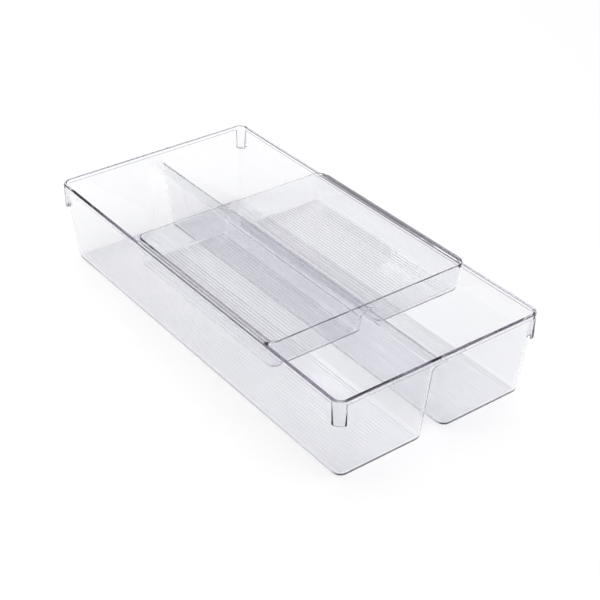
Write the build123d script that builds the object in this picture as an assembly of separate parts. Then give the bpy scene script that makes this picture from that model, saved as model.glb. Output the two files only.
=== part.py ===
from build123d import *
import math
import os

# Clear drawer organizer: a long moulded base with two lanes, and a half-length tray that
# rides on the base's side rims. Millimetres, +Z up, +X across the two lanes, +Y from the
# front to the back. The origin is the middle of the base's footprint, on the drawer floor.

# Base, overall
base_width = 195.0
base_length = 399.0
base_height = 75.5
base_corner_radius = 9.0
base_wall = 1.8
base_floor = 2.2
base_bottom_radius = 3.2

# Base rim, a bead that stands out all round the top of the wall
base_rim_overhang = 1.0
base_rim_height = 3.8
base_rim_round = 0.9

# Slope that lets both mouldings leave their moulds
draft_angle = 4.5

# Hollow ridge between the lanes, open below and at both ends
slot_width = 8.4
ridge_drop_below_rim = 10.0
slot_round = 1.5
lane_corner_radius = 8.0

# Stacking lugs, one round each corner under the rim
lug_height = 19.0
lug_reach = 8.0
lug_foot_bevel = 0.8

# Sliding tray
tray_length = 191.5
tray_depth = 25.2
tray_corner_radius = 7.0
tray_wall = 1.6
tray_floor = 1.6
tray_bottom_radius = 3.0
tray_lane_corner_radius = 6.0
tray_slot_round = 4.0
tray_rim_bevel = 0.5
tray_front_at_rest = -116.7

# Side flanges of the tray, which ride on the base's rim and fade out round the corners
flange_height = 3.0
flange_set_in = 0.2
flange_corner_radius = 10.0

# Clearances between the two mouldings
side_clearance = 0.8
ridge_side_clearance = 0.7
ridge_top_clearance = 3.0

# Fine ribs that run along every lane floor
rib_pitch = 3.0
rib_width = 1.2
rib_height = 0.4
rib_margin = 3.0

# What follows from those sizes
slope = math.tan(math.radians(draft_angle))
base_ridge_top = base_height - ridge_drop_below_rim
base_body_width = base_width - 2 * base_rim_overhang
base_body_length = base_length - 2 * base_rim_overhang
tray_top = base_height + flange_height
tray_bottom = tray_top - tray_depth
tray_width = base_body_width - 2 * base_wall - 2 * side_clearance
tray_slot_width = slot_width + 2 * base_wall + 2 * ridge_side_clearance
tray_slot_top = base_ridge_top + ridge_top_clearance
tray_centre = tray_front_at_rest + tray_length / 2


def sloped_bar(top_width, top, bottom, length, flare):
    """A bar along Y with sloping sides; flare is how much each side moves out per unit down."""
    half_top = top_width / 2
    half_bottom = half_top + (top - bottom) * flare
    outline = Polyline(
        (-half_bottom, bottom), (-half_top, top), (half_top, top), (half_bottom, bottom),
        close=True,
    )
    return extrude(make_face(Plane.XZ * outline), amount=length / 2, both=True)


def drafted_block(width, length, top, bottom):
    """A sharp-cornered block that narrows downwards by the draft; its sizes hold at the top."""
    sides = sloped_bar(width, top, bottom, length, -slope)
    ends = sloped_bar(length, top, bottom, width, -slope)
    return sides & (Rot(0, 0, 90) * ends)


def ridge_bar(top_width, top, bottom, length, round_radius):
    """The bar, wider below, that parts the two lanes along their whole length."""
    bar = sloped_bar(top_width, top, bottom, length, slope)
    return fillet(bar.edges().filter_by(Axis.Y).group_by(Axis.Z)[-1], round_radius)


def upright_edges(block, nearest, furthest):
    """The sloping upright edges whose middles lie between two distances from the centre plane."""
    return block.edges().filter_by(
        lambda edge: nearest < abs(edge.center().X) < furthest
        and edge.bounding_box().size.Z > 2 * edge.bounding_box().size.X
        and edge.bounding_box().size.Z > 2 * edge.bounding_box().size.Y
        and edge.geom_type == GeomType.LINE
    )


def lane_pair(width, length, radius, top, bottom, ridge, lane_radius, bottom_radius):
    """The filled form of both lanes: a drafted block, parted from below by the ridge."""
    block = drafted_block(width, length, top, bottom)
    block = fillet(upright_edges(block, width / 4, width), radius) - ridge
    block = fillet(upright_edges(block, 0, width / 4), lane_radius)
    return fillet(block.edges().group_by(Axis.Z)[0], bottom_radius)


def flat_slab(width, length, radius, top, height):
    """An upright slab of the rim's outline, from which the hollowed lanes are taken."""
    outline = Plane.XY.offset(top - height) * RectangleRounded(width, length, radius)
    return extrude(outline, amount=height)


def rim_edges(shell):
    """The two edges that run all round the rim's flat top."""
    return shell.edges().group_by(Axis.Z)[-1]


def corner_lugs():
    """Four lugs that fill the space between the sloping corners and the rim's outline."""
    top = base_height - base_rim_height
    slab = flat_slab(base_width, base_length, base_corner_radius, top, lug_height)
    slab = chamfer(slab.edges().group_by(Axis.Z)[0], lug_foot_bevel)
    corners = GridLocations(base_width - lug_reach, base_length - lug_reach, 2, 2)
    corner_block = Pos(0, 0, top - lug_height / 2) * Box(lug_reach, lug_reach, lug_height)
    return [slab & (place * corner_block) for place in corners]


def floor_ribs(wall_reach, ridge_reach, end_reach, level):
    """Ribs along both lane floors; the reaches are where walls, ridge and ends meet the floor."""
    lane_width = wall_reach - ridge_reach - 2 * rib_margin
    count = int((lane_width - rib_width) / rib_pitch) + 1
    rib = Box(rib_width, 2 * (end_reach - rib_margin), 2 * rib_height)
    lane = Pos((wall_reach + ridge_reach) / 2, 0, level) * GridLocations(rib_pitch, 1, count, 1)
    right = [place * rib for place in lane]
    return right + [mirror(bar, Plane.YZ) for bar in right]


def make_base():
    """The long base: two drafted lanes, hollow ridge, rim, corner lugs and ribbed floors."""
    outer_ridge = ridge_bar(
        slot_width, base_ridge_top - base_wall, -base_floor, 2 * base_length, slot_round
    )
    outer = lane_pair(
        base_body_width, base_body_length, base_corner_radius - base_rim_overhang,
        base_height, 0, outer_ridge, lane_corner_radius, base_bottom_radius,
    )
    inner_ridge = ridge_bar(
        slot_width + 2 * base_wall, base_ridge_top, 0, 2 * base_length, slot_round + base_wall
    )
    inner = lane_pair(
        base_body_width - 2 * base_wall, base_body_length - 2 * base_wall,
        base_corner_radius - base_rim_overhang - base_wall,
        base_height, base_floor, inner_ridge,
        lane_corner_radius - base_wall, base_bottom_radius - base_wall,
    )
    rim = flat_slab(base_width, base_length, base_corner_radius, base_height, base_rim_height)
    shell = (outer + rim + corner_lugs()) - inner
    shell = fillet(rim_edges(shell), base_rim_round)
    depth = base_height - base_floor
    return shell + floor_ribs(
        base_body_width / 2 - base_wall - depth * slope,
        slot_width / 2 + base_wall + (base_ridge_top - base_floor) * slope,
        base_body_length / 2 - base_wall - depth * slope,
        base_floor,
    )


def side_flanges():
    """A drafted slab, as long as the tray and wider, that leaves a flange on each long side."""
    slab = drafted_block(
        base_width - 2 * flange_set_in, tray_length, tray_top, tray_top - flange_height
    )
    return fillet(upright_edges(slab, tray_width / 4, base_width), flange_corner_radius)


def make_tray():
    """The sliding tray: two shallow lanes whose slot straddles the base's ridge."""
    outer_ridge = ridge_bar(
        tray_slot_width, tray_slot_top, 0, 2 * tray_length, tray_slot_round
    )
    outer = lane_pair(
        tray_width, tray_length, tray_corner_radius,
        tray_top, tray_bottom, outer_ridge, tray_lane_corner_radius, tray_bottom_radius,
    )
    inner_ridge = ridge_bar(
        tray_slot_width + 2 * tray_wall, tray_slot_top + tray_wall, 0, 2 * tray_length,
        tray_slot_round + tray_wall,
    )
    inner = lane_pair(
        tray_width - 2 * tray_wall, tray_length - 2 * tray_wall,
        tray_corner_radius - tray_wall,
        tray_top, tray_bottom + tray_floor, inner_ridge,
        tray_lane_corner_radius - tray_wall, tray_bottom_radius - tray_wall,
    )
    shell = (outer + side_flanges()) - inner
    shell = chamfer(rim_edges(shell), tray_rim_bevel)
    depth = tray_depth - tray_floor
    ribbed = shell + floor_ribs(
        tray_width / 2 - tray_wall - depth * slope,
        tray_slot_width / 2 + tray_wall
        + (tray_slot_top + tray_wall - tray_bottom - tray_floor) * slope,
        tray_length / 2 - tray_wall - depth * slope,
        tray_bottom + tray_floor,
    )
    return Pos(0, tray_centre, 0) * ribbed


parts = {"organizer_base": make_base(), "sliding_tray": make_tray()}
os.makedirs("parts", exist_ok=True)
for name, solid in parts.items():
    export_step(solid, f"parts/{name}.step")
    print(name, round(solid.volume), "mm3, valid:", solid.is_valid, "solids:", len(solid.solids()))
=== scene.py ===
# %% [markdown]
# # A clear drawer organizer
# The object is two clear mouldings: a long base with two lanes, and a half-length tray that slides
# on the base's side rims. The imported model already holds both shapes at their real size, with the
# rim bead, the stacking lugs, the hollow ridge and the ribbed lane floors. So nothing is modelled
# again here, and the lesson is about finish: how to make clear plastic readable on a white floor.
#
# We load the imported model first and keep the boxes of both pieces, and the base's box later
# tells the lamp where to point.

# %% Load the imported model
import math

import bpy
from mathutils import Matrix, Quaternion, Vector


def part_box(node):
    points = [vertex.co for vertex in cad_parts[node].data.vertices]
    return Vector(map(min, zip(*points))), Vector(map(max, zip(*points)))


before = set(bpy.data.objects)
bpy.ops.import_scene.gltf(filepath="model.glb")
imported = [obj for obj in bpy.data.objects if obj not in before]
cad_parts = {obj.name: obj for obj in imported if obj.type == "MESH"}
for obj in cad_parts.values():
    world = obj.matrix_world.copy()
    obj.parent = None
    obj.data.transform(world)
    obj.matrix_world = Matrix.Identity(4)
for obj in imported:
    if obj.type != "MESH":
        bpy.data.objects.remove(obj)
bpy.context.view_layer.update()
base_low, base_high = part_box("organizer_base")
tray_low, tray_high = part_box("sliding_tray")
print("base, metres:", [round(v, 4) for v in base_high - base_low])
print("tray, metres:", [round(v, 4) for v in tray_high - tray_low])

# %% [markdown]
# ## Helpers for node trees
# Every material below starts the same way, from one Principled shader wired to the output, and every
# node is placed by its kind and a few settings. Two small functions say that once. Two more say what
# comes up again and again: blending two shaders, and turning one span of numbers into another.


# %% Helpers for node trees
def place_node(tree, kind, **settings):
    """Adds a node and sets the named properties on it."""
    node = tree.nodes.new(kind)
    for key, value in settings.items():
        setattr(node, key, value)
    return node


def fresh_material(name):
    """A node material with only a Principled shader and its output."""
    material = bpy.data.materials.new(name)
    material.use_nodes = True
    tree = material.node_tree
    tree.nodes.clear()
    shader = place_node(tree, "ShaderNodeBsdfPrincipled")
    output = place_node(tree, "ShaderNodeOutputMaterial")
    tree.links.new(shader.outputs["BSDF"], output.inputs["Surface"])
    return material, tree, shader, output


def blend_shaders(tree, share, first, second):
    """Mixes two shaders: share 0 gives the first, share 1 the second."""
    mix = place_node(tree, "ShaderNodeMixShader")
    tree.links.new(share, mix.inputs["Fac"])
    tree.links.new(first, mix.inputs[1])
    tree.links.new(second, mix.inputs[2])
    return mix.outputs["Shader"]


def remap(tree, value, old_span, new_span):
    """Carries numbers from one span to another and holds them inside the new one."""
    node = place_node(tree, "ShaderNodeMapRange", clamp=True)
    node.inputs["From Min"].default_value, node.inputs["From Max"].default_value = old_span
    node.inputs["To Min"].default_value, node.inputs["To Max"].default_value = new_span
    tree.links.new(value, node.inputs["Value"])
    return node.outputs["Result"]


# %% [markdown]
# ## What a clear moulding's surface is like
# Injection-moulded plastic is never quite even. The melt flows and freezes with a slow ripple a few
# centimetres long, which bends the lines seen through it a little. A faint haze comes and goes over a
# centimetre or so. Where the tray slides and things are laid in and taken out, fine scuffs run along
# the lanes.
#
# All three could be painted in each material, but both mouldings have them, so they go into one node
# group. It takes a place on the piece and a few values, and puts out a colour, a roughness and a
# height. The shader itself stays in the material, where the export can read it.

# %% A node group for the moulded finish
FINISH_INPUTS = {
    "Place": "NodeSocketVector",
    "Clear Tint": "NodeSocketColor",
    "Hazed Tint": "NodeSocketColor",
    "Polish": "NodeSocketFloat",
    "Scuffing": "NodeSocketFloat",
}
FINISH_OUTPUTS = {
    "Color": "NodeSocketColor",
    "Roughness": "NodeSocketFloat",
    "Height": "NodeSocketFloat",
}

moulded_finish = bpy.data.node_groups.new("moulded_finish", "ShaderNodeTree")
for name, kind in FINISH_INPUTS.items():
    moulded_finish.interface.new_socket(name, in_out="INPUT", socket_type=kind)
for name, kind in FINISH_OUTPUTS.items():
    moulded_finish.interface.new_socket(name, in_out="OUTPUT", socket_type=kind)
given = place_node(moulded_finish, "NodeGroupInput")
result = place_node(moulded_finish, "NodeGroupOutput")
print("moulded_finish has", len(moulded_finish.interface.items_tree), "sockets")

# %% [markdown]
# ## Ripple and haze
# Both are soft noise, and only the number of waves differs. The ripple becomes a height, which tilts
# the surface a little. The haze chooses between two tints that are nearly the same.
#
# A Mix node carries sockets for numbers, vectors and colours at once, so its colour sockets are found
# by their place in the list, and those places get names.


# %% Ripple and haze
def noise(group, waves_per_metre, detail, place):
    """Soft noise on the given place, with a rough number of waves in a metre."""
    node = place_node(group, "ShaderNodeTexNoise")
    node.inputs["Scale"].default_value = waves_per_metre
    node.inputs["Detail"].default_value = detail
    group.links.new(place, node.inputs["Vector"])
    return node.outputs["Fac"]


RIPPLE_PER_METRE, RIPPLE_DETAIL = 30.0, 2.0
HAZE_PER_METRE, HAZE_DETAIL = 90.0, 5.0
MIX_SHARE, MIX_FIRST_COLOUR, MIX_SECOND_COLOUR, MIXED_COLOUR = 0, 6, 7, 2
MM_PER_METRE = 1000

ripple = noise(moulded_finish, RIPPLE_PER_METRE, RIPPLE_DETAIL, given.outputs["Place"])
moulded_finish.links.new(ripple, result.inputs["Height"])

haze = noise(moulded_finish, HAZE_PER_METRE, HAZE_DETAIL, given.outputs["Place"])
tint = place_node(moulded_finish, "ShaderNodeMix", data_type="RGBA")
moulded_finish.links.new(haze, tint.inputs[MIX_SHARE])
moulded_finish.links.new(given.outputs["Clear Tint"], tint.inputs[MIX_FIRST_COLOUR])
moulded_finish.links.new(given.outputs["Hazed Tint"], tint.inputs[MIX_SECOND_COLOUR])
moulded_finish.links.new(tint.outputs[MIXED_COLOUR], result.inputs["Color"])
print("ripple every", round(MM_PER_METRE / RIPPLE_PER_METRE), "mm")
print("haze every", round(MM_PER_METRE / HAZE_PER_METRE), "mm")

# %% [markdown]
# ## Scuffs along the lanes
# A scuff is a long thin line. Noise becomes lines when its place is stretched: many waves across the
# lanes, few along them. Only the highest crests are kept, and there the polish drops.

# %% Scuffs
SCUFF_WAVES_PER_METRE = (900.0, 25.0, 900.0)
SCUFF_DETAIL = 3.0
SCUFF_CREST = (0.60, 0.75)
NONE_TO_FULL = (0.0, 1.0)
ALREADY_STRETCHED = 1.0

stretch = place_node(moulded_finish, "ShaderNodeMapping")
stretch.inputs["Scale"].default_value = SCUFF_WAVES_PER_METRE
moulded_finish.links.new(given.outputs["Place"], stretch.inputs["Vector"])
streaks = noise(moulded_finish, ALREADY_STRETCHED, SCUFF_DETAIL, stretch.outputs["Vector"])
crests = remap(moulded_finish, streaks, SCUFF_CREST, NONE_TO_FULL)
worn = place_node(moulded_finish, "ShaderNodeMath", operation="MULTIPLY_ADD")
moulded_finish.links.new(crests, worn.inputs[0])
moulded_finish.links.new(given.outputs["Scuffing"], worn.inputs[1])
moulded_finish.links.new(given.outputs["Polish"], worn.inputs[2])
moulded_finish.links.new(worn.outputs[0], result.inputs["Roughness"])
print("moulded_finish has", len(moulded_finish.nodes), "nodes")

# %% [markdown]
# ## Clear plastic
# On the real object the walls are almost white, and the rims, corners and bottoms are drawn as thin
# lilac-grey lines. Light that enters a rim is guided down inside the wall for a hand's width before it
# comes out, and it loses a little all the way. Light that crosses a wall loses next to nothing.
#
# So the colour has two parts. The tint on the shader is what one crossing takes. The absorption in
# the volume grows with the length inside, which darkens the edges by itself, from every side.
#
# Glass in a renderer also blocks the lamps, because bent light finds a small lamp only by chance.
# A Transparent shader takes over for rays that go to a lamp, so that the lanes and the floor are lit.

# %% The plastic of both mouldings
PLASTIC_IOR = 1.5
FULLY_CLEAR = 1.0
RIPPLE_DEPTH = 0.00008
CLEAR_TINT = (0.975, 0.978, 0.984, 1.0)
HAZED_TINT = (0.950, 0.954, 0.966, 1.0)
LAMP_TINT = (0.985, 0.988, 0.991, 1.0)
EDGE_TINT = (0.50, 0.46, 0.58, 1.0)
EDGE_DENSITY = 13.0


def wire_finish(tree, shader, polish, scuffing):
    """Feeds the moulded finish to the shader's colour, roughness and normal."""
    where = place_node(tree, "ShaderNodeTexCoord")
    finish = place_node(tree, "ShaderNodeGroup", node_tree=moulded_finish)
    finish.inputs["Clear Tint"].default_value = CLEAR_TINT
    finish.inputs["Hazed Tint"].default_value = HAZED_TINT
    finish.inputs["Polish"].default_value = polish
    finish.inputs["Scuffing"].default_value = scuffing
    bump = place_node(tree, "ShaderNodeBump")
    bump.inputs["Distance"].default_value = RIPPLE_DEPTH
    tree.links.new(where.outputs["Object"], finish.inputs["Place"])
    tree.links.new(finish.outputs["Color"], shader.inputs["Base Color"])
    tree.links.new(finish.outputs["Roughness"], shader.inputs["Roughness"])
    tree.links.new(finish.outputs["Height"], bump.inputs["Height"])
    tree.links.new(bump.outputs["Normal"], shader.inputs["Normal"])


def let_lamps_through(tree, shader, output):
    """Puts a Transparent shader in for rays that go to a lamp."""
    path = place_node(tree, "ShaderNodeLightPath")
    passing = place_node(tree, "ShaderNodeBsdfTransparent")
    passing.inputs["Color"].default_value = LAMP_TINT
    surface = blend_shaders(
        tree, path.outputs["Is Shadow Ray"], shader.outputs["BSDF"], passing.outputs["BSDF"]
    )
    tree.links.new(surface, output.inputs["Surface"])


def clear_plastic(name, polish, scuffing):
    """Clear plastic that bends light and darkens along the length of a wall."""
    material, tree, shader, output = fresh_material(name)
    shader.inputs["IOR"].default_value = PLASTIC_IOR
    shader.inputs["Transmission Weight"].default_value = FULLY_CLEAR
    wire_finish(tree, shader, polish, scuffing)
    let_lamps_through(tree, shader, output)
    inside = place_node(tree, "ShaderNodeVolumeAbsorption")
    inside.inputs["Color"].default_value = EDGE_TINT
    inside.inputs["Density"].default_value = EDGE_DENSITY
    tree.links.new(inside.outputs["Volume"], output.inputs["Volume"])
    return material


# %% [markdown]
# ## The finish goes on the two pieces
# The base lies in the drawer and takes the wear of things dragged along its lanes. The tray is
# lifted and slid but holds only small things, so it is a little more polished.

# %% Put the plastic on
BASE_POLISH, BASE_SCUFFING = 0.015, 0.05
TRAY_POLISH, TRAY_SCUFFING = 0.012, 0.04

plastics = {
    "organizer_base": clear_plastic("base_plastic", BASE_POLISH, BASE_SCUFFING),
    "sliding_tray": clear_plastic("tray_plastic", TRAY_POLISH, TRAY_SCUFFING),
}
for node_name, material in plastics.items():
    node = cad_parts[node_name]
    for slot in node.material_slots:
        slot.material = material
    print(node_name, "wears", material.name, "on", len(node.data.polygons), "triangles")

# %% [markdown]
# ## The floor
# The picture has a white ground. A floor lit to full white would need so much light that the plastic
# would burn out. So the floor is a pale matte surface, and a small glow lifts it to white only for
# rays that look at it: from the camera, off a shiny face, or through the plastic. Its diffuse part
# still takes the object's soft shadow. The lamp's light fades with distance, so the glow grows.


# %% Rays that look
def seen_through(tree):
    """1 for rays from the camera, a mirror or a clear wall, and 0 for the rays that light things."""
    path = place_node(tree, "ShaderNodeLightPath")
    first = place_node(tree, "ShaderNodeMath", operation="MAXIMUM")
    second = place_node(tree, "ShaderNodeMath", operation="MAXIMUM")
    tree.links.new(path.outputs["Is Camera Ray"], first.inputs[0])
    tree.links.new(path.outputs["Is Glossy Ray"], first.inputs[1])
    tree.links.new(first.outputs[0], second.inputs[0])
    tree.links.new(path.outputs["Is Transmission Ray"], second.inputs[1])
    return second.outputs[0]


# %% Floor mesh
FLOOR_HALF = 6.0
FLOOR_DROP = 0.0004

corners = [(-1, -1), (1, -1), (1, 1), (-1, 1)]
floor_points = [(x * FLOOR_HALF, y * FLOOR_HALF, -FLOOR_DROP) for x, y in corners]
floor_mesh = bpy.data.meshes.new("floor")
floor_mesh.from_pydata(floor_points, [], [(0, 1, 2, 3)])
floor = bpy.data.objects.new("floor", floor_mesh)
bpy.context.scene.collection.objects.link(floor)
print("floor:", 2 * FLOOR_HALF, "metres square")

# %% Floor material
WHITE = (1.0, 1.0, 1.0, 1.0)
FLOOR_COLOUR = (0.86, 0.86, 0.86, 1.0)
MATTE = 1.0
NO_SHINE = 0.0
GLOW_REACH = (0.4, 4.5)
GLOW_STRENGTH = (0.18, 0.35)

floor_material, floor_tree, floor_shader, _ = fresh_material("pale_floor")
floor_shader.inputs["Base Color"].default_value = FLOOR_COLOUR
floor_shader.inputs["Roughness"].default_value = MATTE
floor_shader.inputs["Specular IOR Level"].default_value = NO_SHINE
floor_shader.inputs["Emission Color"].default_value = WHITE
where = place_node(floor_tree, "ShaderNodeTexCoord")
reach = place_node(floor_tree, "ShaderNodeVectorMath", operation="LENGTH")
floor_tree.links.new(where.outputs["Object"], reach.inputs[0])
glow = remap(floor_tree, reach.outputs["Value"], GLOW_REACH, GLOW_STRENGTH)
lift = place_node(floor_tree, "ShaderNodeMath", operation="MULTIPLY")
floor_tree.links.new(seen_through(floor_tree), lift.inputs[0])
floor_tree.links.new(glow, lift.inputs[1])
floor_tree.links.new(lift.outputs[0], floor_shader.inputs["Emission Strength"])
floor.data.materials.append(floor_material)
print("floor glow from", GLOW_STRENGTH[0], "near to", GLOW_STRENGTH[1], "far")

# %% [markdown]
# ## The studio
# Clear plastic has almost no colour of its own. It shows the room, so the room needs dark parts, or
# the object would vanish. The room that the plastic sees is white at the horizon and behind the
# object, darker overhead, and darker again on the side where the photographer stands. Everything
# else is lit by an even white sky, so that pale colours stay as they are written, and the camera
# itself sees a plain white backdrop past the floor's edge.

# %% Studio seen in the plastic
HORIZON_TOP, CEILING_START = 0.05, 0.75
CEILING_COLOUR = (0.28, 0.27, 0.33, 1.0)
BEHIND_OBJECT = (0.598, 0.801, 0.0)
FRONT_TO_BACK = (-0.6, 0.3)
DARK_TO_BRIGHT = (0.3, 1.0)

world = bpy.data.worlds.new("studio")
bpy.context.scene.world = world
world.use_nodes = True
sky = world.node_tree
sky.nodes.clear()
direction = place_node(sky, "ShaderNodeTexCoord").outputs["Generated"]
upwards = place_node(sky, "ShaderNodeSeparateXYZ")
sky.links.new(direction, upwards.inputs[0])
height = place_node(sky, "ShaderNodeValToRGB")
height.color_ramp.elements[0].position = HORIZON_TOP
height.color_ramp.elements[0].color = WHITE
height.color_ramp.elements[1].position = CEILING_START
height.color_ramp.elements[1].color = CEILING_COLOUR
sky.links.new(upwards.outputs["Z"], height.inputs["Fac"])
side = place_node(sky, "ShaderNodeVectorMath", operation="DOT_PRODUCT")
side.inputs[1].default_value = BEHIND_OBJECT
sky.links.new(direction, side.inputs[0])
shade = place_node(sky, "ShaderNodeVectorMath", operation="SCALE")
sky.links.new(height.outputs["Color"], shade.inputs[0])
dimming = remap(sky, side.outputs["Value"], FRONT_TO_BACK, DARK_TO_BRIGHT)
sky.links.new(dimming, shade.inputs["Scale"])
print("room seen in the plastic:", len(sky.nodes), "nodes")

# %% Studio light
SKY_LIGHT = 0.75

seen = place_node(sky, "ShaderNodeBackground")
sky.links.new(shade.outputs["Vector"], seen.inputs["Color"])
lighting = place_node(sky, "ShaderNodeBackground")
lighting.inputs["Color"].default_value = WHITE
lighting.inputs["Strength"].default_value = SKY_LIGHT
backdrop = place_node(sky, "ShaderNodeBackground")
backdrop.inputs["Color"].default_value = WHITE
sky_path = place_node(sky, "ShaderNodeLightPath")
lit_or_seen = blend_shaders(sky, seen_through(sky), lighting.outputs[0], seen.outputs[0])
whole_sky = blend_shaders(
    sky, sky_path.outputs["Is Camera Ray"], lit_or_seen, backdrop.outputs[0]
)
sky_output = place_node(sky, "ShaderNodeOutputWorld")
sky.links.new(whole_sky, sky_output.inputs["Surface"])
print("studio world:", len(sky.nodes), "nodes")

# %% [markdown]
# ## One soft lamp
# The even sky gives no direction. One large square lamp, high at the back left, adds a soft glint on
# the rims and a faint shadow that seats the base on the floor.

# %% Lamp
LAMP_PLACE = Vector((-0.9, 0.6, 1.6))
LAMP_SIZE = 1.2
LAMP_POWER = 14.0

base_middle = Vector((base_low + base_high) / 2)
key_light = bpy.data.lights.new("key_lamp", "AREA")
key_light.shape = "SQUARE"
key_light.size = LAMP_SIZE
key_light.energy = LAMP_POWER
key_lamp = bpy.data.objects.new("key_lamp", key_light)
key_lamp.location = LAMP_PLACE
key_lamp.rotation_euler = (base_middle - LAMP_PLACE).to_track_quat("-Z", "Y").to_euler()
bpy.context.scene.collection.objects.link(key_lamp)
print("key lamp stands", round((LAMP_PLACE - base_middle).length, 2), "metres away")

# %% [markdown]
# ## The camera
# The camera stands where the photograph was taken: in front of the object and to its left, about a
# third of the way up. Its values were solved from the lines of the rims and the lower edges in the
# picture, then written down here as an aim point, two angles, a distance and a slight roll.

# %% Camera
CAMERA_AZIMUTH = -36.73
CAMERA_ELEVATION = 33.36
CAMERA_ROLL = 0.23
CAMERA_DISTANCE = 1.1242
CAMERA_AIM = Vector((-0.0064, -0.0326, 0.038))
LENS = 82.73
SENSOR = 36.0
NEAREST = 0.01

azimuth, elevation = math.radians(CAMERA_AZIMUTH), math.radians(CAMERA_ELEVATION)
backwards = Vector((
    math.sin(azimuth) * math.cos(elevation),
    -math.cos(azimuth) * math.cos(elevation),
    math.sin(elevation),
))
camera_data = bpy.data.cameras.new("camera")
camera_data.lens = LENS
camera_data.sensor_width = SENSOR
camera_data.sensor_fit = "HORIZONTAL"
camera_data.clip_start = NEAREST
camera = bpy.data.objects.new("camera", camera_data)
camera.location = CAMERA_AIM + backwards * CAMERA_DISTANCE
level_view = (-backwards).to_track_quat("-Z", "Y")
roll = Quaternion((0, 0, 1), math.radians(CAMERA_ROLL))
camera.rotation_euler = (level_view @ roll).to_euler()
bpy.context.scene.collection.objects.link(camera)
bpy.context.scene.camera = camera
print("camera at", [round(v, 3) for v in camera.location])

# %% [markdown]
# ## How far light may travel
# A renderer gives up on a ray after a set number of bounces and paints it black. Light guided down a
# wall turns back and forth more than twenty times, and each turn counts as a glossy bounce. With the
# usual limit of four, the near rims come out as black lines. So all the limits go up together.

# %% View and bounces
MOST_BOUNCES = 64

scene = bpy.context.scene
scene.view_settings.view_transform = "Standard"
scene.cycles.max_bounces = MOST_BOUNCES
scene.cycles.glossy_bounces = MOST_BOUNCES
scene.cycles.transmission_bounces = MOST_BOUNCES
scene.cycles.transparent_max_bounces = MOST_BOUNCES
print("light may bounce", MOST_BOUNCES, "times")
